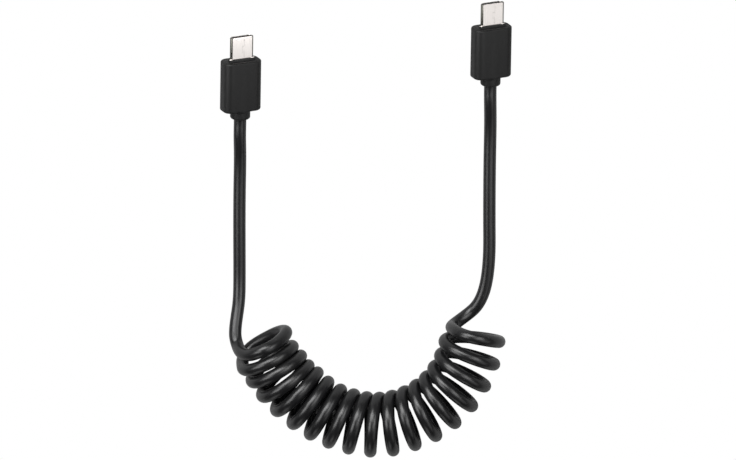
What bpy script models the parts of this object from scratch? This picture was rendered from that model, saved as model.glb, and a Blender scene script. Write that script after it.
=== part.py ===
# Coiled lead with a small flat plug on each end, lying on a level floor in a U.
# Run: blender --background --python part.py, or from the text editor.
# Units are metres, +Z is up, and both plugs point towards +Y.
# The origin is the bottom centre of the whole lead's box.
import math

import bmesh
import bpy
import numpy as np
from mathutils import Matrix, Vector

MM = 0.001

# Cable and coil
CABLE_D = 3.5 * MM
COIL_OUTER_D = 18.5 * MM
MEETING_GAP = 0.3 * MM
LEAD_POINT_SPACING = 5.0 * MM
COIL_POINT_SPACING = 4.0 * MM
LEAD_SIDE_COUNT = 8
COIL_SIDE_COUNT = 16
SAMPLE_COUNT = 60

# Overmold: a rounded block with a short boss that the cable leaves
OVERMOLD_WIDTH = 10.8 * MM
OVERMOLD_HEIGHT = 7.6 * MM
OVERMOLD_LENGTH = 14.6 * MM
OVERMOLD_SIDE_ROUND = 2.6 * MM
OVERMOLD_REAR_ROUND = 1.9 * MM
OVERMOLD_FRONT_ROUND = 0.5 * MM
SIDE_ROUND_COUNT = 5
REAR_ROUND_COUNT = 4
FRONT_ROUND_COUNT = 2
BOSS_D = 5.5 * MM
BOSS_LENGTH = 2.5 * MM
BOSS_ROUND = 0.9 * MM
BOSS_ROOT = 2.0 * MM
BOSS_SIDE_COUNT = 24
BOSS_ROUND_COUNT = 3

# Metal shell: wide face up, sides stepping in to a narrower face below
SHELL_WIDTH = 6.85 * MM
SHELL_NARROW_WIDTH = 5.3 * MM
SHELL_HEIGHT = 1.8 * MM
SHELL_SIDE_HEIGHT = 0.9 * MM
SHELL_WALL = 0.25 * MM
SHELL_REACH = 6.2 * MM
SHELL_SEATED = 3.0 * MM
SHELL_CORNER_ROUND = 0.4 * MM
SHELL_ROUND_COUNT = 2
POCKET_CLEARANCE = 0.15 * MM
POCKET_OVERSHOOT = 1.0 * MM

# Insulator and contacts inside the shell
TONGUE_SIDE_CLEARANCE = 0.3 * MM
TONGUE_THICKNESS = 0.5 * MM
TONGUE_SETBACK = 0.7 * MM
TONGUE_CLEARANCE = 0.06 * MM
TONGUE_LENGTH = 7.5 * MM
CONTACT_COUNT = 5
CONTACT_PITCH = 0.65 * MM
CONTACT_WIDTH = 0.3 * MM
CONTACT_THICKNESS = 0.12 * MM
CONTACT_SETBACK = 0.5 * MM
CONTACT_LENGTH = 5.0 * MM
CONTACT_CLEARANCE = 0.04 * MM

# Edges sharper than this stay sharp, and two places closer than this are one
SMOOTH_ANGLE = math.radians(40.0)
SAME_PLACE = 0.0001 * MM
SAME_DIRECTION = 0.999

# How each plug lies: the middle of its front shoulder, its roll, nose lift and turn
PLUG_ROLL = math.radians(32.0)
PLUG_NOSE_LIFT = math.radians(3.0)
PLUG_A_PLACE = (-34.9 * MM, 47.4 * MM)
PLUG_A_TURN = math.radians(-1.0)
PLUG_B_PLACE = (35.05 * MM, 58.7 * MM)
PLUG_B_TURN = math.radians(-1.0)

# Route points in millimetres, chosen by hand: the coil's axis, then each free stretch
# from its plug to the coil. Each free stretch starts at its plug's boss.
COIL_AXIS = [
    (-31.3, -29.7), (-25.1, -40.1), (-16.9, -49.2), (-5.1, -54.8),
    (7.9, -55.2), (20.6, -48.9), (28.4, -37.9), (30.6, -30.3),
]
LEAD_A_ROUTE = [
    (-35.2, 24.5, 4.0), (-35.3, 18.8, 2.6), (-35.5, 10.0, 1.9), (-35.6, 0.0, 1.85), (-35.6, -10.0, 1.85),
    (-35.6, -19.0, 2.1), (-35.8, -24.5, 3.5), (-36.3, -30.8, 6.6),
]
LEAD_B_ROUTE = [
    (34.7, 36.0, 4.0), (34.6, 30.0, 2.6), (34.4, 20.5, 1.9), (34.3, 10.0, 1.85), (34.3, 0.0, 1.85),
    (34.2, -9.0, 1.85), (33.0, -17.8, 1.85), (31.0, -22.4, 1.85), (28.6, -24.9, 2.1), (24.8, -27.4, 5.3),
]

OVERMOLD_COLOUR = (0.025, 0.025, 0.027)
JACKET_COLOUR = (0.012, 0.012, 0.013)
SHELL_COLOUR = (0.72, 0.70, 0.68)
TONGUE_COLOUR = (0.015, 0.015, 0.015)
CONTACT_COLOUR = (0.83, 0.62, 0.25)
OVERMOLD_ROUGHNESS = 0.45
JACKET_ROUGHNESS = 0.35
SHELL_ROUGHNESS = 0.3
TONGUE_ROUGHNESS = 0.5
CONTACT_ROUGHNESS = 0.25
METAL = 1.0


def clear_scene():
    for item in list(bpy.data.objects):
        bpy.data.objects.remove(item, do_unlink=True)


def new_collection(name):
    collection = bpy.data.collections.new(name)
    bpy.context.scene.collection.children.link(collection)
    return collection


def new_material(name, colour, roughness, metallic=0.0):
    material = bpy.data.materials.new(name)
    material.use_nodes = True
    shader = material.node_tree.nodes["Principled BSDF"]
    shader.inputs["Base Color"].default_value = (*colour, 1.0)
    shader.inputs["Roughness"].default_value = roughness
    shader.inputs["Metallic"].default_value = metallic
    return material


def add_object(name, data, collection, material=None, parent=None):
    item = bpy.data.objects.new(name, data)
    collection.objects.link(item)
    if material:
        data.materials.append(material)
    item.parent = parent
    return item


def add_cutter(name, data, parent):
    item = add_object(name, data, CUTTERS, None, parent)
    item.hide_render = True
    item.display_type = "WIRE"
    return item


def mesh_from(name, bm, smooth_angle=None):
    bmesh.ops.recalc_face_normals(bm, faces=bm.faces)
    mesh = bpy.data.meshes.new(name)
    bm.to_mesh(mesh)
    bm.free()
    if smooth_angle:
        mesh.shade_smooth()
        mesh.set_sharp_from_angle(angle=smooth_angle)
    return mesh


def add_boolean(item, tool, operation):
    modifier = item.modifiers.new(tool.name, "BOOLEAN")
    modifier.object = tool
    modifier.operation = operation
    modifier.solver = "EXACT"


def box(width, length, height, centre):
    """A box whose width is along X, length along Y and height along Z."""
    bm = bmesh.new()
    bmesh.ops.create_cube(bm, size=1.0)
    bmesh.ops.scale(bm, vec=(width, length, height), verts=bm.verts)
    bmesh.ops.translate(bm, vec=centre, verts=bm.verts)
    return bm


def edges_along(bm, axis):
    """Edges that run along one axis."""
    return [
        edge for edge in bm.edges
        if abs((edge.verts[1].co - edge.verts[0].co).normalized()[axis]) > SAME_DIRECTION
    ]


def rim_edges(bm, y):
    """Edges that lie in the plane at y."""
    return [edge for edge in bm.edges if all(abs(vert.co.y - y) < SAME_PLACE for vert in edge.verts)]


def round_edges(bm, edges, radius, segments):
    bmesh.ops.bevel(bm, geom=edges, offset=radius, segments=segments, profile=0.5, affect="EDGES")


def overmold_block():
    """The grip: front shoulder at y 0, tail at -OVERMOLD_LENGTH."""
    bm = box(OVERMOLD_WIDTH, OVERMOLD_LENGTH, OVERMOLD_HEIGHT, (0, -OVERMOLD_LENGTH / 2, 0))
    round_edges(bm, edges_along(bm, 1), OVERMOLD_SIDE_ROUND, SIDE_ROUND_COUNT)
    round_edges(bm, rim_edges(bm, -OVERMOLD_LENGTH), OVERMOLD_REAR_ROUND, REAR_ROUND_COUNT)
    round_edges(bm, rim_edges(bm, 0.0), OVERMOLD_FRONT_ROUND, FRONT_ROUND_COUNT)
    return mesh_from("overmold_block", bm, SMOOTH_ANGLE)


def boss_cylinder():
    """The cable's strain relief, rooted inside the block and rounded at its tail."""
    bm = bmesh.new()
    length = BOSS_LENGTH + BOSS_ROOT
    bmesh.ops.create_cone(
        bm, cap_ends=True, segments=BOSS_SIDE_COUNT, radius1=BOSS_D / 2, radius2=BOSS_D / 2, depth=length,
        matrix=Matrix.Rotation(math.pi / 2, 4, "X"))
    tail = -(OVERMOLD_LENGTH + BOSS_LENGTH)
    bmesh.ops.translate(bm, vec=(0, tail + length / 2, 0), verts=bm.verts)
    round_edges(bm, rim_edges(bm, tail), BOSS_ROUND, BOSS_ROUND_COUNT)
    return mesh_from("boss", bm, SMOOTH_ANGLE)


def shell_outline(outset):
    """Corners of the shell's section, each side moved out by outset; the wide face is up."""
    slope = math.atan2(SHELL_HEIGHT - SHELL_SIDE_HEIGHT, (SHELL_WIDTH - SHELL_NARROW_WIDTH) / 2)
    top = SHELL_HEIGHT / 2 + outset
    bottom = -SHELL_HEIGHT / 2 - outset
    step = SHELL_HEIGHT / 2 - SHELL_SIDE_HEIGHT - outset * math.tan((math.pi / 2 - slope) / 2)
    wide = SHELL_WIDTH / 2 + outset
    narrow = SHELL_NARROW_WIDTH / 2 + outset * math.tan(slope / 2)
    return [(-wide, step), (-wide, top), (wide, top), (wide, step), (narrow, bottom), (-narrow, bottom)]


def shell_tube():
    """The shell's outer skin, open at both ends; Solidify gives it its wall."""
    bm = bmesh.new()
    tail = [bm.verts.new((x, -SHELL_SEATED, z)) for x, z in shell_outline(0.0)]
    mouth = [bm.verts.new((x, SHELL_REACH, z)) for x, z in shell_outline(0.0)]
    count = len(tail)
    for i in range(count):
        j = (i + 1) % count
        bm.faces.new((tail[i], mouth[i], mouth[j], tail[j]))
    round_edges(bm, edges_along(bm, 1), SHELL_CORNER_ROUND, SHELL_ROUND_COUNT)
    return mesh_from("shell", bm, SMOOTH_ANGLE)


def pocket_block():
    """Cuts the seat that the shell stands in."""
    bm = bmesh.new()
    outline = [bm.verts.new((x, POCKET_OVERSHOOT, z)) for x, z in shell_outline(POCKET_CLEARANCE)]
    face = bm.faces.new(outline)
    depth = SHELL_SEATED + MEETING_GAP + POCKET_OVERSHOOT
    grown = bmesh.ops.extrude_face_region(bm, geom=[face])["geom"]
    verts = [item for item in grown if isinstance(item, bmesh.types.BMVert)]
    bmesh.ops.translate(bm, vec=(0, -depth, 0), verts=verts)
    return mesh_from("pocket", bm)


def tongue_block():
    """The insulator, lying on the inside of the shell's narrow face."""
    inner_width = 2 * max(x for x, z in shell_outline(-SHELL_WALL)[4:])
    width = inner_width - 2 * TONGUE_SIDE_CLEARANCE
    floor = -SHELL_HEIGHT / 2 + SHELL_WALL + TONGUE_CLEARANCE
    front = SHELL_REACH - TONGUE_SETBACK
    centre = (0, front - TONGUE_LENGTH / 2, floor + TONGUE_THICKNESS / 2)
    return mesh_from("tongue", box(width, TONGUE_LENGTH, TONGUE_THICKNESS, centre))


def contact_strip(index):
    """One contact, lying on the insulator."""
    floor = -SHELL_HEIGHT / 2 + SHELL_WALL + TONGUE_CLEARANCE + TONGUE_THICKNESS + CONTACT_CLEARANCE
    front = SHELL_REACH - TONGUE_SETBACK - CONTACT_SETBACK
    x = (index - (CONTACT_COUNT - 1) / 2) * CONTACT_PITCH
    centre = (x, front - CONTACT_LENGTH / 2, floor + CONTACT_THICKNESS / 2)
    return mesh_from("contact", box(CONTACT_WIDTH, CONTACT_LENGTH, CONTACT_THICKNESS, centre))


def plug_pose(block, place, turn):
    """Where a plug lies: rolled, nose lifted, turned, and let down until its block meets the floor."""
    turned = (Matrix.Rotation(turn, 4, "Z") @ Matrix.Rotation(PLUG_NOSE_LIFT, 4, "X")
              @ Matrix.Rotation(PLUG_ROLL, 4, "Y"))
    lowest = min((turned @ vert.co).z for vert in block.vertices)
    return Matrix.Translation((place[0], place[1], -lowest)) @ turned


def build_plug(name, place, turn):
    """All pieces of one plug; returns the plug's pose."""
    block = overmold_block()
    pose = plug_pose(block, place, turn)
    holder = bpy.data.objects.new(name, None)
    PARTS.objects.link(holder)
    holder.matrix_world = pose
    overmold = add_object(f"{name}_overmold", block, PARTS, MATERIALS["overmold"], holder)
    add_boolean(overmold, add_cutter(f"{name}_boss_tool", boss_cylinder(), holder), "UNION")
    add_boolean(overmold, add_cutter(f"{name}_pocket_tool", pocket_block(), holder), "DIFFERENCE")
    shell = add_object(f"{name}_shell", shell_tube(), PARTS, MATERIALS["shell"], holder)
    wall = shell.modifiers.new("wall", "SOLIDIFY")
    wall.thickness = SHELL_WALL
    wall.offset = -1.0
    wall.use_even_offset = True
    add_object(f"{name}_tongue", tongue_block(), PARTS, MATERIALS["tongue"], holder)
    for index in range(CONTACT_COUNT):
        add_object(f"{name}_contact_{index + 1}", contact_strip(index), PARTS, MATERIALS["contact"], holder)
    return pose


def smooth_curve(points, spacing):
    """Evenly spaced points on a natural cubic spline through the route's points."""
    points = np.array([tuple(point) for point in points], dtype=float)
    steps = np.sqrt(np.linalg.norm(np.diff(points, axis=0), axis=1))
    knots = np.concatenate([[0.0], np.cumsum(steps)])
    count = len(points)
    matrix = np.eye(count)
    right = np.zeros_like(points)
    slopes = np.diff(points, axis=0) / steps[:, None]
    for i in range(1, count - 1):
        matrix[i, i - 1:i + 2] = (steps[i - 1], 2 * (steps[i - 1] + steps[i]), steps[i])
        right[i] = 6 * (slopes[i] - slopes[i - 1])
    bends = np.linalg.solve(matrix, right)
    fine = np.linspace(0.0, knots[-1], SAMPLE_COUNT * count)
    span = np.clip(np.searchsorted(knots, fine, side="right") - 1, 0, count - 2)
    width = steps[span][:, None]
    before = (fine - knots[span])[:, None]
    after = width - before
    curve = (bends[span] * after ** 3 + bends[span + 1] * before ** 3) / (6 * width)
    curve += (points[span] / width - bends[span] * width / 6) * after
    curve += (points[span + 1] / width - bends[span + 1] * width / 6) * before
    along = np.concatenate([[0.0], np.cumsum(np.linalg.norm(np.diff(curve, axis=0), axis=1))])
    pieces = max(2, round(along[-1] / spacing))
    even = np.linspace(0.0, along[-1], pieces + 1)
    return np.stack([np.interp(even, along, curve[:, axis]) for axis in range(points.shape[1])], axis=1)


def build_tube(name, points, diameter, side_count, material):
    """A filled round tube along the points; a curve has four sides and two more for each level."""
    curve = bpy.data.curves.new(name, "CURVE")
    curve.dimensions = "3D"
    curve.bevel_depth = diameter / 2
    curve.bevel_resolution = (side_count - 4) // 2
    curve.use_fill_caps = True
    spline = curve.splines.new("POLY")
    spline.points.add(len(points) - 1)
    for point, place in zip(spline.points, points):
        point.co = (*place, 1.0)
    return add_object(name, curve, PARTS, material)


def boss_end(pose, beyond):
    """A point on the plug's axis, beyond the end of its boss."""
    return pose @ Vector((0, -(OVERMOLD_LENGTH + BOSS_LENGTH + beyond), 0))


def build_lead(name, pose, route):
    """The free stretch from a plug's boss to the coil."""
    start = [boss_end(pose, MEETING_GAP), boss_end(pose, MEETING_GAP + CABLE_D / 2)]
    points = start + [Vector(point) * MM for point in route]
    build_tube(name, smooth_curve(points, LEAD_POINT_SPACING), CABLE_D, LEAD_SIDE_COUNT, MATERIALS["jacket"])


def build_coil():
    """The coil's outer form, lying on the floor."""
    points = [(x * MM, y * MM, COIL_OUTER_D / 2) for x, y in COIL_AXIS]
    curve = smooth_curve(points, COIL_POINT_SPACING)
    build_tube("coil", curve, COIL_OUTER_D, COIL_SIDE_COUNT, MATERIALS["jacket"])


clear_scene()
PARTS = new_collection("coiled_lead")
CUTTERS = new_collection("cutters")
MATERIALS = {
    "overmold": new_material("overmold", OVERMOLD_COLOUR, OVERMOLD_ROUGHNESS),
    "jacket": new_material("jacket", JACKET_COLOUR, JACKET_ROUGHNESS),
    "shell": new_material("shell", SHELL_COLOUR, SHELL_ROUGHNESS, METAL),
    "tongue": new_material("tongue", TONGUE_COLOUR, TONGUE_ROUGHNESS),
    "contact": new_material("contact", CONTACT_COLOUR, CONTACT_ROUGHNESS, METAL),
}
pose_a = build_plug("plug_a", PLUG_A_PLACE, PLUG_A_TURN)
pose_b = build_plug("plug_b", PLUG_B_PLACE, PLUG_B_TURN)
build_coil()
build_lead("lead_a", pose_a, LEAD_A_ROUTE)
build_lead("lead_b", pose_b, LEAD_B_ROUTE)
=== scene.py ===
import math

import bmesh
import bpy
import numpy as np
from mathutils import Matrix, Vector


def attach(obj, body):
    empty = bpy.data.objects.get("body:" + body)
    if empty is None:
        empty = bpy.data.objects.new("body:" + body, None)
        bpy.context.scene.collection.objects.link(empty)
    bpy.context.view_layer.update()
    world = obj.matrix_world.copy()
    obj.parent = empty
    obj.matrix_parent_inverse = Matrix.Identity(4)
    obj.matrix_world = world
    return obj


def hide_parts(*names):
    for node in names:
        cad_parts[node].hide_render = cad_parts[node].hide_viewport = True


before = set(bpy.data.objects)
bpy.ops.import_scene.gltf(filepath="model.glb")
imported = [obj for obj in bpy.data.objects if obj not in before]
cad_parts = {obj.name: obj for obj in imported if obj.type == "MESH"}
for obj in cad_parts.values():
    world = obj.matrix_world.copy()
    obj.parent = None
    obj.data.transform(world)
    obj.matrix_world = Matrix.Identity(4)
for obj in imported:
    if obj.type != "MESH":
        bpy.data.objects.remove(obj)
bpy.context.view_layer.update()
mm = 0.001


# Camera: the picture's frame and the direction that it was taken from
photo = {
    "pixelsAcross": 736, "pixelsPerMm": 3.6, "sensor": 36.0, "lens": 900.0,
    "aheadTilt": 14.0, "sideTilt": 6.0,      # degrees from straight down
    "aim": (0.83, -0.80, 6.0),               # mm, what the middle of the picture shows
}


def placeCamera(p):
    toward = Vector((math.sin(math.radians(p["sideTilt"])), math.sin(math.radians(p["aheadTilt"])), 0.0))
    toward.z = math.sqrt(1.0 - toward.length_squared)
    across = Vector((0, 1, 0)).cross(toward).normalized()
    upward = toward.cross(across)
    data = bpy.data.cameras.new("camera")
    data.lens, data.sensor_width, data.clip_end = p["lens"], p["sensor"], 100.0
    camera = bpy.data.objects.new("camera", data)
    bpy.context.scene.collection.objects.link(camera)
    distance = p["pixelsAcross"] / p["pixelsPerMm"] * mm * p["lens"] / p["sensor"]
    turn = Matrix((across, upward, toward)).transposed().to_4x4()
    camera.matrix_world = Matrix.Translation(Vector(p["aim"]) * mm + toward * distance) @ turn
    bpy.context.scene.camera = camera


placeCamera(photo)
print("camera set")


# Shared helpers
def keepObject(name, mesh, material=None):
    item = bpy.data.objects.new(name, mesh)
    bpy.context.scene.collection.objects.link(item)
    if material:
        mesh.materials.clear()
        mesh.materials.append(material)
    return item


def flatten(item, name):    # a plain mesh from an object and its modifiers
    mesh = bpy.data.meshes.new_from_object(item.evaluated_get(bpy.context.evaluated_depsgraph_get()))
    bpy.data.objects.remove(item, do_unlink=True)
    mesh.name = name
    return keepObject(name, mesh)


def nodeAt(tree, kind, x, y, **values):
    node = tree.nodes.new(kind)
    node.location = (x, y)
    for key, value in values.items():
        if hasattr(node, key):
            setattr(node, key, value)
        else:
            node.inputs[key].default_value = value
    return node


def mathNode(tree, x, y, operation, first, second=None):
    node = nodeAt(tree, "ShaderNodeMath", x, y, operation=operation)
    for socket, value in zip(node.inputs, (first, second)):
        if value is None:
            continue
        if isinstance(value, (int, float)):
            socket.default_value = value
        else:
            tree.links.new(value, socket)
    return node.outputs[0]


# Finishes: effects that several materials share
def newGroup(name, inputs, outputs):
    group = bpy.data.node_groups.new(name, "ShaderNodeTree")
    for label, kind, value in inputs:
        socket = group.interface.new_socket(label, in_out="INPUT", socket_type=kind)
        if value is not None:
            socket.default_value = value
    for label, kind in outputs:
        group.interface.new_socket(label, in_out="OUTPUT", socket_type=kind)
    return group, nodeAt(group, "NodeGroupInput", -900, 0), nodeAt(group, "NodeGroupOutput", 700, 0)


def grainGroup():    # the fine skin that a mould or a die leaves
    group, entry, out = newGroup(
        "mouldGrain",
        [("Vector", "NodeSocketVector", None), ("Scale", "NodeSocketFloat", 4000.0),
         ("Unevenness", "NodeSocketFloat", 0.3)],
        [("Height", "NodeSocketFloat"), ("Patches", "NodeSocketFloat")])
    fine = nodeAt(group, "ShaderNodeTexNoise", -600, 200, Detail=3.0, Roughness=0.6)
    group.links.new(entry.outputs["Vector"], fine.inputs["Vector"])
    group.links.new(entry.outputs["Scale"], fine.inputs["Scale"])
    broad = nodeAt(group, "ShaderNodeTexNoise", -600, -200, Detail=2.0, Roughness=0.5)
    group.links.new(entry.outputs["Vector"], broad.inputs["Vector"])
    coarser = mathNode(group, -760, -200, "MULTIPLY", entry.outputs["Scale"], 0.12)
    group.links.new(coarser, broad.inputs["Scale"])
    lifted = mathNode(group, -300, -100, "MULTIPLY", broad.outputs["Fac"], entry.outputs["Unevenness"])
    group.links.new(mathNode(group, -100, 100, "ADD", fine.outputs["Fac"], lifted), out.inputs["Height"])
    group.links.new(broad.outputs["Fac"], out.inputs["Patches"])
    return group


def dustGroup():    # sparse specks and rubbed spots from handling
    group, entry, out = newGroup(
        "handlingDust",
        [("Vector", "NodeSocketVector", None), ("Scale", "NodeSocketFloat", 900.0),
         ("Amount", "NodeSocketFloat", 0.1)],
        [("Mask", "NodeSocketFloat")])
    cells = nodeAt(group, "ShaderNodeTexVoronoi", -600, 100, Randomness=1.0)
    group.links.new(entry.outputs["Vector"], cells.inputs["Vector"])
    group.links.new(entry.outputs["Scale"], cells.inputs["Scale"])
    near = mathNode(group, -350, 100, "LESS_THAN", cells.outputs["Distance"], entry.outputs["Amount"])
    where = nodeAt(group, "ShaderNodeTexNoise", -600, -200, Detail=2.0)
    group.links.new(entry.outputs["Vector"], where.inputs["Vector"])
    coarser = mathNode(group, -760, -250, "MULTIPLY", entry.outputs["Scale"], 0.1)
    group.links.new(coarser, where.inputs["Scale"])
    some = mathNode(group, -350, -150, "GREATER_THAN", where.outputs["Fac"], 0.5)
    group.links.new(mathNode(group, -100, 0, "MULTIPLY", near, some), out.inputs["Mask"])
    return group


def rubGroup():    # long fine drawn or rubbed lines
    group, entry, out = newGroup(
        "drawnLines",
        [("Vector", "NodeSocketVector", None), ("Across", "NodeSocketFloat", 3000.0),
         ("Along", "NodeSocketFloat", 60.0)],
        [("Height", "NodeSocketFloat")])
    stretch = nodeAt(group, "ShaderNodeVectorMath", -600, 0, operation="MULTIPLY")
    sizes = nodeAt(group, "ShaderNodeCombineXYZ", -760, -150)
    group.links.new(entry.outputs["Across"], sizes.inputs["X"])
    group.links.new(entry.outputs["Across"], sizes.inputs["Y"])
    group.links.new(entry.outputs["Along"], sizes.inputs["Z"])
    group.links.new(entry.outputs["Vector"], stretch.inputs[0])
    group.links.new(sizes.outputs[0], stretch.inputs[1])
    lines = nodeAt(group, "ShaderNodeTexNoise", -300, 0, Scale=1.0, Detail=2.0, Roughness=0.5)
    group.links.new(stretch.outputs[0], lines.inputs["Vector"])
    group.links.new(lines.outputs["Fac"], out.inputs["Height"])
    return group


mouldGrain, handlingDust, drawnLines = grainGroup(), dustGroup(), rubGroup()


def placeGroup(tree, group, vector, x, y, **values):
    node = nodeAt(tree, "ShaderNodeGroup", x, y, node_tree=group)
    for key, value in values.items():
        node.inputs[key].default_value = value
    tree.links.new(vector, node.inputs["Vector"])
    return node


def spread(tree, source, low, high, x, y):    # a 0 to 1 value turned into a range
    node = nodeAt(tree, "ShaderNodeMapRange", x, y)
    node.inputs["To Min"].default_value, node.inputs["To Max"].default_value = low, high
    tree.links.new(source, node.inputs["Value"])
    return node.outputs["Result"]


def bump(tree, shader, height, strength, distance, x, y):
    node = nodeAt(tree, "ShaderNodeBump", x, y)
    node.inputs["Strength"].default_value, node.inputs["Distance"].default_value = strength, distance
    tree.links.new(height, node.inputs["Height"])
    tree.links.new(node.outputs["Normal"], shader.inputs["Normal"])


def startMaterial(name, **values):
    material = bpy.data.materials.new(name)
    material.use_nodes = True
    tree = material.node_tree
    shader = tree.nodes["Principled BSDF"]
    for key, value in values.items():
        shader.inputs[key.replace("_", " ")].default_value = value
    return material, tree, shader


def objectPlace(tree, x=-1400, y=0):
    return nodeAt(tree, "ShaderNodeTexCoord", x, y).outputs["Object"]


def mixColour(tree, mask, first, second, x, y):
    node = nodeAt(tree, "ShaderNodeMix", x, y, data_type="RGBA")
    for socket, value in ((node.inputs[6], first), (node.inputs[7], second)):
        socket.default_value = (*value, 1)
    tree.links.new(mask, node.inputs[0])
    return node.outputs[2]


def jacketMaterial():
    material, tree, shader = startMaterial("satinJacket", IOR=1.5)
    straight = nodeAt(tree, "ShaderNodeAttribute", -1400, 0, attribute_name="straightened").outputs["Vector"]
    grain = placeGroup(tree, mouldGrain, straight, -1000, 200, Scale=5200.0, Unevenness=0.8)
    lines = placeGroup(tree, drawnLines, straight, -1000, -100, Across=4200.0, Along=70.0)
    dust = placeGroup(tree, handlingDust, straight, -1000, -400, Scale=420.0, Amount=0.06)
    half = mathNode(tree, -780, 60, "MULTIPLY", grain.outputs["Height"], 0.5)
    height = mathNode(tree, -600, 0, "ADD", half, lines.outputs["Height"])
    bump(tree, shader, height, 0.05, 0.00002, -300, -200)
    colour = mixColour(tree, dust.outputs["Mask"], (0.0075, 0.0075, 0.008), (0.03, 0.03, 0.03), -500, 300)
    tree.links.new(colour, shader.inputs["Base Color"])
    tree.links.new(spread(tree, grain.outputs["Patches"], 0.27, 0.33, -500, 100), shader.inputs["Roughness"])
    return material


def gripMaterial():
    material, tree, shader = startMaterial("mouldedGrip", IOR=1.37)
    place = nodeAt(tree, "ShaderNodeAttribute", -1400, 0, attribute_name="moulded").outputs["Vector"]
    grain = placeGroup(tree, mouldGrain, place, -1000, 200, Scale=9000.0, Unevenness=0.5)
    dust = placeGroup(tree, handlingDust, place, -1000, -400, Scale=500.0, Amount=0.05)
    bump(tree, shader, grain.outputs["Height"], 0.25, 0.00002, -300, -200)
    colour = mixColour(tree, dust.outputs["Mask"], (0.006, 0.006, 0.0061), (0.025, 0.025, 0.025), -500, 300)
    tree.links.new(colour, shader.inputs["Base Color"])
    tree.links.new(spread(tree, grain.outputs["Patches"], 0.42, 0.56, -500, 100), shader.inputs["Roughness"])
    return material


def steelMaterial():
    material, tree, shader = startMaterial("platedSteel", Metallic=1.0)
    place = nodeAt(tree, "ShaderNodeAttribute", -1400, 0, attribute_name="moulded").outputs["Vector"]
    grain = placeGroup(tree, mouldGrain, place, -1000, 200, Scale=2500.0, Unevenness=0.6)
    turned = nodeAt(tree, "ShaderNodeMapping", -1200, -100)
    turned.inputs["Rotation"].default_value = (math.radians(90), 0, 0)
    tree.links.new(place, turned.inputs["Vector"])
    lines = placeGroup(tree, drawnLines, turned.outputs["Vector"], -1000, -100, Across=9000.0, Along=300.0)
    bump(tree, shader, lines.outputs["Height"], 0.12, 0.00002, -300, -200)
    plated = mixColour(tree, grain.outputs["Patches"], (0.90, 0.845, 0.81), (0.95, 0.905, 0.875), -500, 300)
    paintedShadeFrom, paintedShadeTo, clearOf = 0.00288, 0.00304, 0.0008    # m from the tip's middle where the painted side shade starts and ends, and from its shoulder
    split = nodeAt(tree, "ShaderNodeSeparateXYZ", -1200, 500)
    tree.links.new(place, split.inputs[0])
    paintedSideShade = nodeAt(tree, "ShaderNodeMapRange", -800, 500)    # painted shade: the tip's side strips get a darker colour, standing in for the shade that falls on them
    paintedSideShade.inputs["From Min"].default_value, paintedSideShade.inputs["From Max"].default_value = paintedShadeFrom, paintedShadeTo
    tree.links.new(mathNode(tree, -1000, 500, "ABSOLUTE", split.outputs["X"]), paintedSideShade.inputs["Value"])
    clear = mathNode(tree, -800, 700, "GREATER_THAN", split.outputs["Y"], clearOf)    # not the root tabs
    # Painted shade: the tip's side strips are mixed towards this dark colour, standing in for the shade on
    # the real sides
    sides = nodeAt(tree, "ShaderNodeMix", -250, 400, data_type="RGBA")
    sides.inputs[7].default_value = (0.15, 0.148, 0.13, 1)
    tree.links.new(plated, sides.inputs[6])
    tree.links.new(mathNode(tree, -600, 600, "MULTIPLY", paintedSideShade.outputs["Result"], clear), sides.inputs[0])
    tree.links.new(sides.outputs[2], shader.inputs["Base Color"])
    tree.links.new(spread(tree, grain.outputs["Patches"], 0.12, 0.2, -500, 100), shader.inputs["Roughness"])
    return material


def tongueMaterial():
    material, tree, shader = startMaterial("blackInsulator", IOR=1.5)
    grain = placeGroup(tree, mouldGrain, objectPlace(tree), -1000, 200, Scale=9000.0, Unevenness=0.4)
    bump(tree, shader, grain.outputs["Height"], 0.2, 0.00001, -300, -200)
    colour = mixColour(tree, grain.outputs["Patches"], (0.01, 0.01, 0.01), (0.02, 0.02, 0.02), -500, 300)
    tree.links.new(colour, shader.inputs["Base Color"])
    tree.links.new(spread(tree, grain.outputs["Patches"], 0.4, 0.55, -500, 100), shader.inputs["Roughness"])
    return material


def seamMaterial():    # the shadowed joint of the folded sheet
    material, tree, shader = startMaterial("jointShadow", Metallic=1.0)
    grain = placeGroup(tree, mouldGrain, objectPlace(tree), -1000, 200, Scale=6000.0, Unevenness=0.4)
    colour = mixColour(tree, grain.outputs["Patches"], (0.22, 0.21, 0.20), (0.36, 0.34, 0.32), -500, 300)
    tree.links.new(colour, shader.inputs["Base Color"])
    tree.links.new(spread(tree, grain.outputs["Patches"], 0.4, 0.6, -500, 100), shader.inputs["Roughness"])
    return material


def goldMaterial():
    material, tree, shader = startMaterial("goldFlash", Metallic=1.0)
    grain = placeGroup(tree, mouldGrain, objectPlace(tree), -1000, 200, Scale=6000.0, Unevenness=0.4)
    bump(tree, shader, grain.outputs["Height"], 0.1, 0.00001, -300, -200)
    colour = mixColour(tree, grain.outputs["Patches"], (0.80, 0.56, 0.20), (0.90, 0.68, 0.32), -500, 300)
    tree.links.new(colour, shader.inputs["Base Color"])
    tree.links.new(spread(tree, grain.outputs["Patches"], 0.18, 0.34, -500, 100), shader.inputs["Roughness"])
    return material


finish = {"jacket": jacketMaterial(), "grip": gripMaterial(), "steel": steelMaterial(),
          "tongue": tongueMaterial(), "gold": goldMaterial(), "seam": seamMaterial()}
print("finishes made")


# Plugs: where each one lies, as the middle of its front shoulder in mm
lay = {
    "roll": 31.5, "noseLift": 5.4, "turn": -1.5,
    "plugA": (-34.62, 46.91, 6.03), "plugB": (35.21, 58.27, 6.03),
}


def plugPose(name):
    turned = (Matrix.Rotation(math.radians(lay["turn"]), 4, "Z")
              @ Matrix.Rotation(math.radians(lay["noseLift"]), 4, "X")
              @ Matrix.Rotation(math.radians(lay["roll"]), 4, "Y"))
    return Matrix.Translation(Vector(lay[name]) * mm) @ turned


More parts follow.
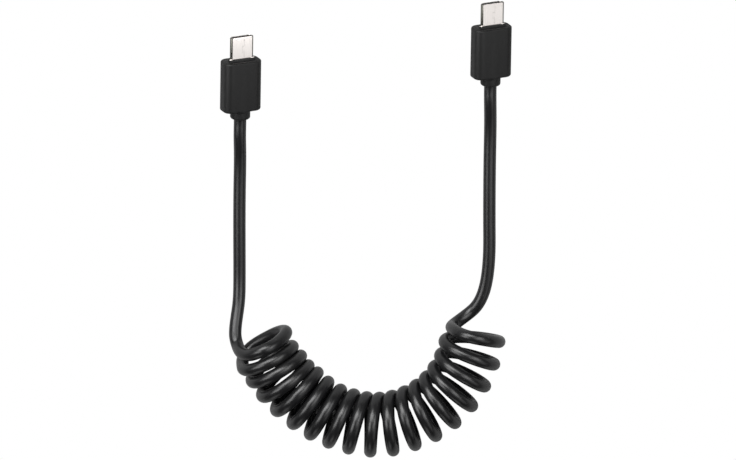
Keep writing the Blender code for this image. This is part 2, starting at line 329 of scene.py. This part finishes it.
# Cable: one smooth length from plug to plug, in mm
cable = {
    "across": 3.5, "sides": 28, "spacing": 0.5, "bossTail": 17.1,
    "leadA": [(-35.2, 24.5, 4.0), (-35.3, 18.8, 2.6), (-35.5, 10.0, 1.9), (-35.6, 0.0, 1.85),
              (-35.6, -10.0, 1.85), (-35.6, -19.0, 2.1), (-35.8, -24.5, 3.5), (-36.3, -31.5, 6.4)],
    "firstLoop": [(-35.5, -34.3, 8.0), (-34.1, -35.4, 11.5), (-31.46, -35.3, 14.8), (-27.37, -33.42, 16.95),
                  (-23.86, -31.8, 14.8), (-21.74, -30.0, 9.35), (-24.2, -31.04, 4.6), (-28.4, -33.67, 2.1),
                  (-32.45, -36.5, 2.1), (-34.29, -38.83, 4.2)],
    "lastLoop": [(36.9, -30.0, 12.9), (34.4, -28.9, 15.8), (31.0, -28.0, 16.9), (27.4, -27.5, 14.8),
                 (24.8, -27.4, 9.6)],
    "leadB": [(24.8, -27.4, 5.3), (28.6, -24.9, 2.1), (31.0, -22.4, 1.85), (33.0, -17.8, 1.85),
              (34.2, -9.0, 1.85), (34.3, 0.0, 1.85), (34.3, 10.0, 1.85), (34.4, 20.5, 1.9),
              (34.6, 30.0, 2.6), (34.7, 36.0, 4.0)],
}
coil = {
    "across": 18.4, "turns": 17.5, "perTurn": 24, "from": 1.0, "to": 17.0,
    # A few turns lie a little further back: turn, mm along X and Y
    "nudges": [(2.45, 0.1, 0.8), (3.5, 0.0, 0.85), (4.5, 0.1, 1.1), (5.5, 0.0, 0.5)],
    "nudgeReach": 0.28,    # in turns
    "start": 3.2, "pitch": (4.33, 4.91, 5.69), "lean": (5.1, -1.9, 5.6),   # at its start, middle and end
    "axis": [(-31.3, -29.7), (-24.8, -40.5), (-18.1, -48.2), (-5.3, -54.6),
             (8.2, -55.2), (21.8, -47.9), (29.0, -36.2), (30.9, -26.3)],
}


def smoothCurve(points, spacing, samples=60):    # evenly spaced places on a natural spline, and its length
    points = np.array([tuple(point) for point in points], dtype=float)
    steps = np.sqrt(np.linalg.norm(np.diff(points, axis=0), axis=1))
    knots = np.concatenate([[0.0], np.cumsum(steps)])
    count = len(points)
    matrix, right = np.eye(count), np.zeros_like(points)
    slopes = np.diff(points, axis=0) / steps[:, None]
    for i in range(1, count - 1):
        matrix[i, i - 1:i + 2] = (steps[i - 1], 2 * (steps[i - 1] + steps[i]), steps[i])
        right[i] = 6 * (slopes[i] - slopes[i - 1])
    bends = np.linalg.solve(matrix, right)
    fine = np.linspace(0.0, knots[-1], samples * count)
    span = np.clip(np.searchsorted(knots, fine, side="right") - 1, 0, count - 2)
    width = steps[span][:, None]
    before = (fine - knots[span])[:, None]
    after = width - before
    curve = (bends[span] * after ** 3 + bends[span + 1] * before ** 3) / (6 * width)
    curve += (points[span] / width - bends[span] * width / 6) * after
    curve += (points[span + 1] / width - bends[span + 1] * width / 6) * before
    along = np.concatenate([[0.0], np.cumsum(np.linalg.norm(np.diff(curve, axis=0), axis=1))])
    even = np.linspace(0.0, along[-1], max(2, round(along[-1] / spacing)) + 1)
    return np.stack([np.interp(even, along, curve[:, k]) for k in range(points.shape[1])], axis=1), along[-1]


def coilPoints(c, wire):    # a left-handed helix round the coil's bent axis
    axis, length = smoothCurve(c["axis"], 0.25)
    along = np.linspace(0.0, length, len(axis))
    forward = np.gradient(axis, axis=0)
    forward /= np.linalg.norm(forward, axis=1)[:, None]
    turn = np.linspace(c["from"], c["to"], round((c["to"] - c["from"]) * c["perTurn"]) + 1)
    part = turn / c["turns"]
    first, middle, last = c["pitch"]
    place = c["start"] + c["turns"] * (first * part + (4 * middle - 3 * first - last) * part ** 2 / 2
                                       + (2 * first + 2 * last - 4 * middle) * part ** 3 / 3)
    x, y = (np.interp(place, along, axis[:, k]) for k in (0, 1))
    tx, ty = (np.interp(place, along, forward[:, k]) for k in (0, 1))
    over = np.maximum(place - length, 0) + np.minimum(place, 0)
    leanA, leanB, leanC = c["lean"]
    lean = np.radians(leanA + (4 * leanB - 3 * leanA - leanC) * part
                      + 2 * (leanA + leanC - 2 * leanB) * part ** 2)
    radius = (c["across"] - wire) / 2
    around = 2 * math.pi * turn
    out = np.stack([ty, -tx, 0 * tx], -1)
    top = np.stack([tx * np.sin(lean), ty * np.sin(lean), np.cos(lean)], -1)
    core = np.stack([x + over * tx, y + over * ty, np.full_like(x, c["across"] / 2)], -1)
    route = core + radius * (np.cos(around)[:, None] * out + np.sin(around)[:, None] * top)
    for where, right, ahead in c["nudges"]:
        share = np.exp(-((turn - where) / c["nudgeReach"]) ** 2 / 2)
        route[:, 0] += right * share
        route[:, 1] += ahead * share
    return route


def cableRoute():
    tail = Vector((0, -cable["bossTail"] * mm, 0))
    tailA, tailB = (plugPose(name) @ tail / mm for name in ("plugA", "plugB"))
    back = plugPose("plugA").to_3x3() @ Vector((0, -1, 0)) * cable["across"] / 2
    loops = [Vector(point) for point in coilPoints(coil, cable["across"])]
    leadA, firstLoop, lastLoop, leadB = ([Vector(point) for point in cable[key]]
                                         for key in ("leadA", "firstLoop", "lastLoop", "leadB"))
    route = [tailA, tailA + back] + leadA + firstLoop + loops + lastLoop + leadB + [tailB + back, tailB]
    return smoothCurve(route, cable["spacing"])


def sweepTree():    # a round cable swept along a path, with its own straightened-out places
    tree = bpy.data.node_groups.new("cableSweep", "GeometryNodeTree")
    face = tree.interface
    face.new_socket("Geometry", in_out="INPUT", socket_type="NodeSocketGeometry")
    for label, kind, value in (("Across", "NodeSocketFloat", 0.0035), ("Sides", "NodeSocketInt", 24)):
        face.new_socket(label, in_out="INPUT", socket_type=kind).default_value = value
    face.new_socket("Material", in_out="INPUT", socket_type="NodeSocketMaterial")
    face.new_socket("Geometry", in_out="OUTPUT", socket_type="NodeSocketGeometry")
    entry, out = nodeAt(tree, "NodeGroupInput", -900, 0), nodeAt(tree, "NodeGroupOutput", 900, 0)
    link = tree.links.new

    along = nodeAt(tree, "GeometryNodeSplineParameter", -900, 250)
    keepAlong = nodeAt(tree, "GeometryNodeCaptureAttribute", -650, 150, domain="POINT")
    keepAlong.capture_items.new("FLOAT", "Length")
    link(entry.outputs["Geometry"], keepAlong.inputs["Geometry"])
    link(along.outputs["Length"], keepAlong.inputs["Length"])

    ring = nodeAt(tree, "GeometryNodeCurvePrimitiveCircle", -650, -150, mode="RADIUS")
    half = nodeAt(tree, "ShaderNodeMath", -850, -250, operation="DIVIDE")
    half.inputs[1].default_value = 2.0
    link(entry.outputs["Across"], half.inputs[0])
    link(half.outputs[0], ring.inputs["Radius"])
    link(entry.outputs["Sides"], ring.inputs["Resolution"])
    keepRing = nodeAt(tree, "GeometryNodeCaptureAttribute", -400, -150, domain="POINT")
    keepRing.capture_items.new("VECTOR", "Round")
    link(ring.outputs["Curve"], keepRing.inputs["Geometry"])
    link(nodeAt(tree, "GeometryNodeInputPosition", -650, -400).outputs[0], keepRing.inputs["Round"])

    sweep = nodeAt(tree, "GeometryNodeCurveToMesh", -150, 100)
    sweep.inputs["Fill Caps"].default_value = True
    link(keepAlong.outputs["Geometry"], sweep.inputs["Curve"])
    link(keepRing.outputs["Geometry"], sweep.inputs["Profile Curve"])
    split = nodeAt(tree, "ShaderNodeSeparateXYZ", -150, -200)
    join = nodeAt(tree, "ShaderNodeCombineXYZ", 50, -200)
    link(keepRing.outputs["Round"], split.inputs[0])
    link(split.outputs["X"], join.inputs["X"])
    link(split.outputs["Y"], join.inputs["Y"])
    link(keepAlong.outputs["Length"], join.inputs["Z"])
    store = nodeAt(tree, "GeometryNodeStoreNamedAttribute", 200, 100, data_type="FLOAT_VECTOR",
                   domain="POINT")
    store.inputs["Name"].default_value = "straightened"
    link(sweep.outputs["Mesh"], store.inputs["Geometry"])
    link(join.outputs[0], store.inputs["Value"])
    real = nodeAt(tree, "GeometryNodeRealizeInstances", 400, 100)
    paint = nodeAt(tree, "GeometryNodeSetMaterial", 600, 100)
    link(store.outputs["Geometry"], real.inputs["Geometry"])
    link(real.outputs["Geometry"], paint.inputs["Geometry"])
    link(entry.outputs["Material"], paint.inputs["Material"])
    link(paint.outputs["Geometry"], out.inputs["Geometry"])
    return tree


def setInputs(modifier, **values):    # a modifier's inputs go by their sockets' identifiers
    for socket in modifier.node_group.interface.items_tree:
        if socket.item_type == "SOCKET" and socket.in_out == "INPUT" and socket.name in values:
            modifier[socket.identifier] = values[socket.name]


def buildCable():
    points, length = cableRoute()
    curve = bpy.data.curves.new("cable", "CURVE")
    curve.dimensions = "3D"
    spline = curve.splines.new("POLY")
    spline.points.add(len(points) - 1)
    spline.points.foreach_set("co", np.c_[points * mm, np.ones(len(points))].ravel())
    path = bpy.data.objects.new("cablePath", curve)
    bpy.context.scene.collection.objects.link(path)
    modifier = path.modifiers.new("sweep", "NODES")
    modifier.node_group = sweepTree()
    setInputs(modifier, Across=cable["across"] * mm, Sides=cable["sides"], Material=finish["jacket"])
    bpy.context.view_layer.update()
    piece = flatten(path, "cable")
    piece.data.materials.clear()
    piece.data.materials.append(finish["jacket"])
    piece.data.shade_smooth()
    print(f"cable {length:.1f} mm, {len(piece.data.polygons)} faces")
    return piece, points * mm, length * mm


cablePiece, cablePath, cableLength = buildCable()


# Grip: the moulded block and its strain relief, in mm; the shoulder is at y 0
grip = {
    "width": 11.2, "height": 6.1, "length": 14.6, "sideRound": 2.2, "rearRound": 0.6, "frontRound": 0.5,
    "bossAcross": 5.6, "bossLength": 2.5, "bossRound": 0.6, "bossFillet": 0.35,
    "leastHalf": 0.3, "leastRound": 0.7, "cornerSteps": 14, "flatSteps": 8, "frontSteps": 6, "rearSteps": 14,
    "pocketDepth": 3.3, "pocketGap": 0.12, "collarHeight": 0.6, "collarWall": 0.3, "collarRound": 0.08,
    "rearRings": 8, "rearRingStep": (0.012, 0.22), "bossRings": 6, "bossRingStep": 0.06, "bossSteps": 8,
    "pastBody": 9.0,                          # an inset that leaves only the boss
    "blend": 0.12, "holeGap": 0.06, "holeEdge": 0.1, "holeDepth": 1.2,
}
# Metal tip, in mm: its wide face is up
tip = {
    "width": 6.85, "narrow": 5.3, "height": 1.8, "sideHeight": 0.9, "wall": 0.25,
    "reach": 6.85, "seated": 3.0,
    "topRound": 0.45, "lowRound": 0.28, "innerTopRound": 0.22, "innerLowRound": 0.12, "cornerSteps": 6,
    "flatEdge": 0.03, "leadIn": 0.12, "leadInDepth": 0.015, "leadInMiddle": (0.4, 0.5),
    "lipRound": 0.05, "lipSteps": 4,
    "seamWidth": 0.08, "seamLift": 0.004, "seamDepth": 0.012,
    "seam": [(0.55, 0.62), (0.55, 2.7), (-0.05, 2.45), (-0.05, 4.35), (0.55, 4.1), (0.55, 6.2)],
}
sharpFrom = 35.0        # degrees between two faces that show as an edge
mergeWithin = 0.0005    # mm between points that are one
# Insulator, contacts, latches and root tabs, in mm: size, then the middle of each
inner = {
    "tongueSize": (4.4, 8.6, 0.5), "tongueAt": (0, 2.1, -0.34), "tongueRound": 0.08,
    "contactSize": (0.34, 5.4, 0.12), "contactAt": (0, 2.3, -0.03), "contactRound": 0.035,
    "contactCount": 5, "contactPitch": 0.65,
    "latchSize": (0.7, 1.7, 0.3), "latchAt": (0, 3.6, -0.95), "latchRound": 0.06,
    "latchCount": 2, "latchPitch": 2.8, "latchDrop": 0.24,
    "rootSize": (1.15, 0.8, 0.6), "rootAt": (0, 0.33, 0.70), "rootRound": 0.12,
    "rootCount": 2, "rootPitch": 6.5,
}


def tipCorners(outset):    # the tip's outline, wide face up, grown by outset
    slope = math.atan2(tip["height"] - tip["sideHeight"], (tip["width"] - tip["narrow"]) / 2)
    top, bottom = tip["height"] / 2 + outset, -tip["height"] / 2 - outset
    step = tip["height"] / 2 - tip["sideHeight"] - outset * math.tan((math.pi / 2 - slope) / 2)
    wide, narrow = tip["width"] / 2 + outset, tip["narrow"] / 2 + outset * math.tan(slope / 2)
    return [(-wide, step), (-wide, top), (wide, top), (wide, step), (narrow, bottom), (-narrow, bottom)]


def roundedLoop(corners, radii, steps, flatEdge=0.0):    # a closed outline with arcs for its corners
    loop = []
    count = len(corners)
    for i, (corner, radius) in enumerate(zip(corners, radii)):
        here = Vector(corner)
        back = (Vector(corners[i - 1]) - here).normalized()
        ahead = (Vector(corners[(i + 1) % count]) - here).normalized()
        half = back.angle(ahead) / 2
        if flatEdge:    # a point on the flat beside each arc, so that the flats shade flat
            loop.append(here + back * (radius / math.tan(half) + flatEdge))
        centre = here + (back + ahead).normalized() * radius / math.sin(half)
        start = here + back * radius / math.tan(half) - centre
        end = here + ahead * radius / math.tan(half) - centre
        sweep = start.angle(end)
        sign = 1.0 if start.x * end.y - start.y * end.x > 0 else -1.0
        for k in range(steps + 1):
            turn = sign * sweep * k / steps
            loop.append(centre + Vector((start.x * math.cos(turn) - start.y * math.sin(turn),
                                         start.x * math.sin(turn) + start.y * math.cos(turn))))
        if flatEdge:
            loop.append(here + ahead * (radius / math.tan(half) + flatEdge))
    return loop


def loft(name, rings, closed=False):    # rings of equal count joined into a skin
    bm = bmesh.new()
    rows = [[bm.verts.new(place) for place in ring] for ring in rings]
    count = len(rows[0])
    pairs = list(zip(rows, rows[1:])) + ([(rows[-1], rows[0])] if closed else [])
    for low, high in pairs:
        for i in range(count):
            j = (i + 1) % count
            bm.faces.new((low[i], low[j], high[j], high[i]))
    if not closed:
        bm.faces.new(rows[0])
        bm.faces.new(rows[-1])
    bmesh.ops.remove_doubles(bm, verts=bm.verts, dist=mergeWithin)
    bmesh.ops.recalc_face_normals(bm, faces=bm.faces)
    mesh = bpy.data.meshes.new(name)
    bm.to_mesh(mesh)
    bm.free()
    return mesh


def settle(mesh, pose):    # keeps each local place in "moulded", then lays the mesh down
    mesh.shade_smooth()
    mesh.set_sharp_from_angle(angle=math.radians(sharpFrom))
    mesh.transform(Matrix.Scale(mm, 4))
    places = np.zeros(len(mesh.vertices) * 3, dtype=np.float32)
    mesh.vertices.foreach_get("co", places)
    mesh.attributes.new("moulded", "FLOAT_VECTOR", "POINT").data.foreach_set("vector", places)
    mesh.transform(pose)


def boxRadius(angle, halfWide, halfTall, corner):    # how far a rounded rectangle reaches in a direction
    cx, cz = abs(math.cos(angle)), abs(math.sin(angle))
    reach = min(halfWide / max(cx, 1e-9), halfTall / max(cz, 1e-9))
    x, z = cx * reach, cz * reach
    if x > halfWide - corner and z > halfTall - corner:
        mx, mz = halfWide - corner, halfTall - corner
        b = cx * mx + cz * mz
        reach = b + math.sqrt(max(b * b - (mx * mx + mz * mz - corner * corner), 0.0))
    return reach


def loopRadius(angle, corners):    # how far a polygon reaches in a direction
    ray = (math.cos(angle), math.sin(angle))
    for i, first in enumerate(corners):
        second = corners[(i + 1) % len(corners)]
        ex, ez = second[0] - first[0], second[1] - first[1]
        cross = ray[0] * ez - ray[1] * ex
        if abs(cross) < 1e-12:
            continue
        far = (first[0] * ez - first[1] * ex) / cross
        part = (first[0] * ray[1] - first[1] * ray[0]) / cross
        if far > 0 and -1e-9 <= part <= 1 + 1e-9:
            return far
    return 0.0


def gripMesh():
    g = grip
    halfWide, halfTall, corner = g["width"] / 2, g["height"] / 2, g["sideRound"]
    pocket = tipCorners(g["pocketGap"])
    box = [(-halfWide, -halfTall), (halfWide, -halfTall), (halfWide, halfTall), (-halfWide, halfTall)]
    outline = roundedLoop(box, [corner] * len(box), g["cornerSteps"])
    angles = {round(math.atan2(p.y, p.x), 6) for p in outline}
    angles |= {round(math.atan2(z, x), 6) for x, z in pocket}
    for side in (-1, 1):
        for k in range(1, g["flatSteps"]):
            share = 2 * k / g["flatSteps"] - 1
            angles.add(round(math.atan2(side * halfTall, (halfWide - corner) * share), 6))
            angles.add(round(math.atan2((halfTall - corner) * share, side * halfWide), 6))
    angles = sorted(angles)

    def bodyRing(inset):    # how far the body reaches at every angle
        wide, tall = max(halfWide - inset, g["leastHalf"]), max(halfTall - inset, g["leastHalf"])
        rounding = max(min(corner - inset, tall, wide), min(g["leastRound"], tall))
        return [boxRadius(a, wide, tall, rounding) for a in angles]

    rings = []
    edge, inside = g["collarRound"], g["pocketGap"]
    outside, top = inside + g["collarWall"], g["collarHeight"]
    bit = 0.3 * edge                              # where an arc of that radius passes its corner
    for outset, y in ((inside, -g["pocketDepth"]), (inside, top - edge), (inside + bit, top - bit),
                      (inside + edge, top), (outside - edge, top), (outside - bit, top - bit),
                      (outside, top - edge), (outside, edge), (outside + bit, bit), (outside + edge, 0.0)):
        corners = tipCorners(outset)
        rings.append([(y, loopRadius(a, corners)) for a in angles])
    for k in range(g["frontSteps"] + 1):
        turn = math.pi / 2 * k / g["frontSteps"]
        inset = g["frontRound"] * (1 - math.sin(turn))
        y = -g["frontRound"] * (1 - math.cos(turn))
        rings.append([(y, r) for r in bodyRing(inset)])
    rearStart = -(g["length"] - g["rearRound"])
    boss, fillet = g["bossAcross"] / 2, g["bossFillet"]
    steps = []
    for k in range(g["rearSteps"] + 1):
        turn = math.pi / 2 * k / g["rearSteps"]
        steps.append((rearStart - g["rearRound"] * math.sin(turn), g["rearRound"] * (1 - math.cos(turn))))
    backward, inward = g["rearRingStep"]
    for k in range(1, g["rearRings"] + 1):
        steps.append((-g["length"] - backward * k, g["rearRound"] + inward * k))
    last = steps[-1][0]
    steps += [(last - g["bossRingStep"] * k, g["pastBody"]) for k in range(1, g["bossRings"] + 1)]
    tail = -(g["length"] + g["bossLength"])
    for y, inset in steps:
        depth = min(max((-g["length"] - y) / fillet, -1.0), 1.0)
        flare = fillet * (1 - math.sqrt(max(1 - (1 - max(depth, 0.0)) ** 2, 0.0))) if depth < 1 else 0.0
        core = boss + flare
        row = []
        for r in bodyRing(inset):    # the body and the boss run softly into each other
            h = max(g["blend"] - abs(r - core), 0.0) / g["blend"]
            row.append((y, max(r, core) + h * h * g["blend"] / 4))
        rings.append(row)
    for k in range(g["bossSteps"] + 1):
        turn = math.pi / 2 * k / g["bossSteps"]
        y = tail + g["bossRound"] * (1 - math.sin(turn))
        rings.append([(y, boss - g["bossRound"] * (1 - math.cos(turn)))] * len(angles))
    hole = cable["across"] / 2 + g["holeGap"]
    for y, r in ((tail, hole + g["holeEdge"]), (tail + g["holeEdge"], hole), (tail + g["holeDepth"], hole)):
        rings.append([(y, r)] * len(angles))
    places = [[(r * math.cos(a), y, r * math.sin(a)) for (y, r), a in zip(ring, angles)] for ring in rings]
    return loft("grip", places)


def tipMesh():
    t = tip
    outer = [t["lowRound"], t["topRound"], t["topRound"]] + [t["lowRound"]] * 3
    inside = [t["innerLowRound"], t["innerTopRound"], t["innerTopRound"]] + [t["innerLowRound"]] * 3
    deep, far = t["leadInMiddle"]
    rings = []
    for outset, y in ((0.0, -t["seated"]), (0.0, 0.0), (0.0, t["reach"] - t["leadIn"]),
                      (-t["leadInDepth"] * deep, t["reach"] - t["leadIn"] * far)):
        rings.append((outset, y, outer))
    for k in range(t["lipSteps"] + 1):
        turn = math.pi / 2 * k / t["lipSteps"]
        rings.append((-t["leadInDepth"] - t["lipRound"] * (1 - math.cos(turn)),
                      t["reach"] - t["lipRound"] * (1 - math.sin(turn)), outer))
    for k in range(t["lipSteps"] + 1):
        turn = math.pi / 2 * k / t["lipSteps"]
        rings.append((-t["leadInDepth"] - t["wall"] + t["lipRound"] * (1 - math.sin(turn)),
                      t["reach"] - t["lipRound"] * (1 - math.cos(turn)), inside))
    rings.append((-t["wall"], t["reach"] - t["leadIn"], inside))
    rings.append((-t["wall"], -t["seated"], inside))
    places = [[(p.x, y, p.y) for p in roundedLoop(tipCorners(outset), radii, t["cornerSteps"],
                                                         t["flatEdge"])]
              for outset, y, radii in rings]
    return loft("tip", places, closed=True)


def seamMesh():    # the folded sheet's dovetail joint, a hairline that runs up the wide face
    z = tip["height"] / 2 + tip["seamLift"]
    line = [Vector((x, y, z)) for x, y in tip["seam"]]
    bm = bmesh.new()
    sides = []
    for i, here in enumerate(line):
        ahead = (line[min(i + 1, len(line) - 1)] - here).normalized()
        behind = (here - line[max(i - 1, 0)]).normalized()
        along = (ahead + behind).normalized()
        across = Vector((along.y, -along.x, 0)) * tip["seamWidth"] / 2
        sides.append((bm.verts.new(here + across), bm.verts.new(here - across)))
    for (a, b), (c, d) in zip(sides, sides[1:]):
        bm.faces.new((a, c, d, b))
    grown = bmesh.ops.extrude_face_region(bm, geom=bm.faces[:])["geom"]
    bmesh.ops.translate(bm, vec=(0, 0, -tip["seamDepth"]),
                        verts=[item for item in grown if isinstance(item, bmesh.types.BMVert)])
    bmesh.ops.recalc_face_normals(bm, faces=bm.faces)
    mesh = bpy.data.meshes.new("seam")
    bm.to_mesh(mesh)
    bm.free()
    return mesh


def roundedBlock(name, size, middle, rounding, drop=0.0):    # a soft-edged block, its rear underside raised
    bm = bmesh.new()
    bmesh.ops.create_cube(bm, size=1.0)
    bmesh.ops.scale(bm, vec=size, verts=bm.verts)
    for vert in bm.verts:
        if vert.co.y < 0 and vert.co.z < 0:
            vert.co.z += drop
    bmesh.ops.bevel(bm, geom=bm.edges[:], offset=rounding, segments=3, profile=0.5, affect="EDGES")
    bmesh.ops.translate(bm, vec=middle, verts=bm.verts)
    bmesh.ops.recalc_face_normals(bm, faces=bm.faces)
    mesh = bpy.data.meshes.new(name)
    bm.to_mesh(mesh)
    bm.free()
    return mesh


def rowTree():    # copies of one thing in a row along X
    tree = bpy.data.node_groups.new("rowOf", "GeometryNodeTree")
    face = tree.interface
    face.new_socket("Geometry", in_out="INPUT", socket_type="NodeSocketGeometry")
    face.new_socket("Count", in_out="INPUT", socket_type="NodeSocketInt").default_value = 5
    face.new_socket("Pitch", in_out="INPUT", socket_type="NodeSocketFloat").default_value = 0.65
    face.new_socket("Material", in_out="INPUT", socket_type="NodeSocketMaterial")
    face.new_socket("Geometry", in_out="OUTPUT", socket_type="NodeSocketGeometry")
    entry, out = nodeAt(tree, "NodeGroupInput", -900, 0), nodeAt(tree, "NodeGroupOutput", 700, 0)
    link = tree.links.new
    step = nodeAt(tree, "ShaderNodeCombineXYZ", -700, -150)
    link(entry.outputs["Pitch"], step.inputs["X"])
    gaps = mathNode(tree, -700, -300, "SUBTRACT", entry.outputs["Count"], 1.0)
    half = mathNode(tree, -500, -300, "MULTIPLY", mathNode(tree, -600, -350, "MULTIPLY", gaps, -0.5),
                    entry.outputs["Pitch"])
    first = nodeAt(tree, "ShaderNodeCombineXYZ", -400, -300)
    link(half, first.inputs["X"])
    line = nodeAt(tree, "GeometryNodeMeshLine", -200, -100, mode="OFFSET")
    link(entry.outputs["Count"], line.inputs["Count"])
    link(first.outputs[0], line.inputs["Start Location"])
    link(step.outputs[0], line.inputs["Offset"])
    spots = nodeAt(tree, "GeometryNodeInstanceOnPoints", 0, 0)
    link(line.outputs["Mesh"], spots.inputs["Points"])
    link(entry.outputs["Geometry"], spots.inputs["Instance"])
    real = nodeAt(tree, "GeometryNodeRealizeInstances", 200, 0)
    paint = nodeAt(tree, "GeometryNodeSetMaterial", 400, 0)
    link(spots.outputs["Instances"], real.inputs["Geometry"])
    link(real.outputs["Geometry"], paint.inputs["Geometry"])
    link(entry.outputs["Material"], paint.inputs["Material"])
    link(paint.outputs["Geometry"], out.inputs["Geometry"])
    return tree


rowOf = rowTree()


def rowMesh(name, mesh, count, pitch, material):
    item = keepObject(name, mesh)
    modifier = item.modifiers.new("row", "NODES")
    modifier.node_group = rowOf
    setInputs(modifier, Count=count, Pitch=pitch, Material=material)
    bpy.context.view_layer.update()
    return flatten(item, name)


def buildPlug(name):
    node = "plug_" + name[-1].lower()
    pose = plugPose(name)
    n = inner
    pieces = []

    def place(piece, material, slot, replaced):
        piece.data.materials.clear()
        piece.data.materials.append(finish[material])
        settle(piece.data, pose)
        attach(piece, "root")
        if replaced:
            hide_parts(*replaced)
        pieces.append(piece)

    place(keepObject(name + "Grip", gripMesh()), "grip", "overmold", [f"{node}_overmold"])
    place(keepObject(name + "Tip", tipMesh()), "steel", "shell", [f"{node}_shell"])
    place(keepObject(name + "Seam", seamMesh()), "seam", "shell", None)
    tongue = roundedBlock("tongue", n["tongueSize"], n["tongueAt"], n["tongueRound"])
    place(keepObject(name + "Tongue", tongue), "tongue", "tongue", [f"{node}_tongue"])
    contact = roundedBlock("contact", n["contactSize"], n["contactAt"], n["contactRound"])
    contacts = rowMesh(name + "Contacts", contact, n["contactCount"], n["contactPitch"], finish["gold"])
    place(contacts, "gold", "contact", [f"{node}_contact_{k + 1}" for k in range(n["contactCount"])])
    latch = roundedBlock("latch", n["latchSize"], n["latchAt"], n["latchRound"], n["latchDrop"])
    latches = rowMesh(name + "Latches", latch, n["latchCount"], n["latchPitch"], finish["steel"])
    place(latches, "steel", "shell", None)
    root = roundedBlock("root", n["rootSize"], n["rootAt"], n["rootRound"])
    tabs = rowMesh(name + "RootTabs", root, n["rootCount"], n["rootPitch"], finish["steel"])
    place(tabs, "steel", "shell", None)
    return pieces


plugPieces = {name: buildPlug(name) for name in ("plugA", "plugB")}
print("plugs built")

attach(cablePiece, "root")
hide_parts("lead_a", "coil", "lead_b")


# Studio: a floor that the camera sees as plain white, and soft lights by direction in degrees from overhead
studio = {
    "floorSize": 3.0, "room": 0.02, "floorTone": 0.40,
    "boxes": {
        # name: sideways, ahead, distance, width, depth, radiance
        "backLeft": (-36.0, 45.0, 0.8, 0.60, 0.44, 6.5),
        "backMiddle": (-2.0, 37.0, 0.8, 0.55, 0.32, 5.0),
        "aboveLeft": (-42.0, 0.5, 0.48, 0.20, 0.33, 4.6),
        "backRight": (44.0, 28.0, 0.8, 0.34, 0.40, 3.2),
        "aboveRight": (33.7, 0.5, 0.43, 0.18, 0.33, 2.7),
        "rightWall": (54.0, -38.0, 0.8, 0.46, 0.46, 0.8),
        "frontLow": (-33.0, -73.0, 0.8, 0.35, 0.35, 1.1),
    },
}


def buildFloor():
    bm = bmesh.new()
    bmesh.ops.create_grid(bm, x_segments=4, y_segments=4, size=studio["floorSize"])
    mesh = bpy.data.meshes.new("floor")
    bm.to_mesh(mesh)
    bm.free()
    material = bpy.data.materials.new("paleFloor")
    material.use_nodes = True
    tree = material.node_tree
    tree.nodes.clear()
    out = nodeAt(tree, "ShaderNodeOutputMaterial", 600, 0)
    mix = nodeAt(tree, "ShaderNodeMixShader", 400, 0)
    seen = nodeAt(tree, "ShaderNodeEmission", 100, -150, Strength=1.0)
    plain = nodeAt(tree, "ShaderNodeBsdfDiffuse", 100, 100)
    plain.inputs["Color"].default_value = (studio["floorTone"],) * 3 + (1,)
    tree.links.new(nodeAt(tree, "ShaderNodeLightPath", 100, 400).outputs["Is Camera Ray"], mix.inputs[0])
    tree.links.new(plain.outputs[0], mix.inputs[1])
    tree.links.new(seen.outputs[0], mix.inputs[2])
    tree.links.new(mix.outputs[0], out.inputs[0])
    floor = keepObject("floor", mesh, material)


def buildLights():
    for name, (side, ahead, distance, width, depth, radiance) in studio["boxes"].items():
        direction = Vector((math.tan(math.radians(side)), math.tan(math.radians(ahead)), 1.0)).normalized()
        data = bpy.data.lights.new(name, "AREA")
        data.shape, data.size, data.size_y = "RECTANGLE", width, depth
        data.energy = radiance * math.pi * width * depth
        light = bpy.data.objects.new(name, data)
        light.matrix_world = (Matrix.Translation(direction * distance)
                              @ direction.to_track_quat("Z", "Y").to_matrix().to_4x4())
        light.visible_camera = False
        bpy.context.scene.collection.objects.link(light)


def buildRoom():
    world = bpy.data.worlds.new("room")
    bpy.context.scene.world = world
    world.use_nodes = True
    tree = world.node_tree
    tree.nodes.clear()
    out = nodeAt(tree, "ShaderNodeOutputWorld", 600, 0)
    mix = nodeAt(tree, "ShaderNodeMixShader", 400, 0)
    dim = nodeAt(tree, "ShaderNodeBackground", 100, 100, Strength=studio["room"])
    white = nodeAt(tree, "ShaderNodeBackground", 100, -100, Strength=1.0)
    for node in (dim, white):
        node.inputs["Color"].default_value = (1, 1, 1, 1)
    tree.links.new(nodeAt(tree, "ShaderNodeLightPath", 100, 400).outputs["Is Camera Ray"], mix.inputs[0])
    tree.links.new(dim.outputs[0], mix.inputs[1])
    tree.links.new(white.outputs[0], mix.inputs[2])
    tree.links.new(mix.outputs[0], out.inputs[0])


buildFloor()
buildLights()
buildRoom()
bpy.context.scene.view_settings.view_transform = "Standard"
print("studio lit")
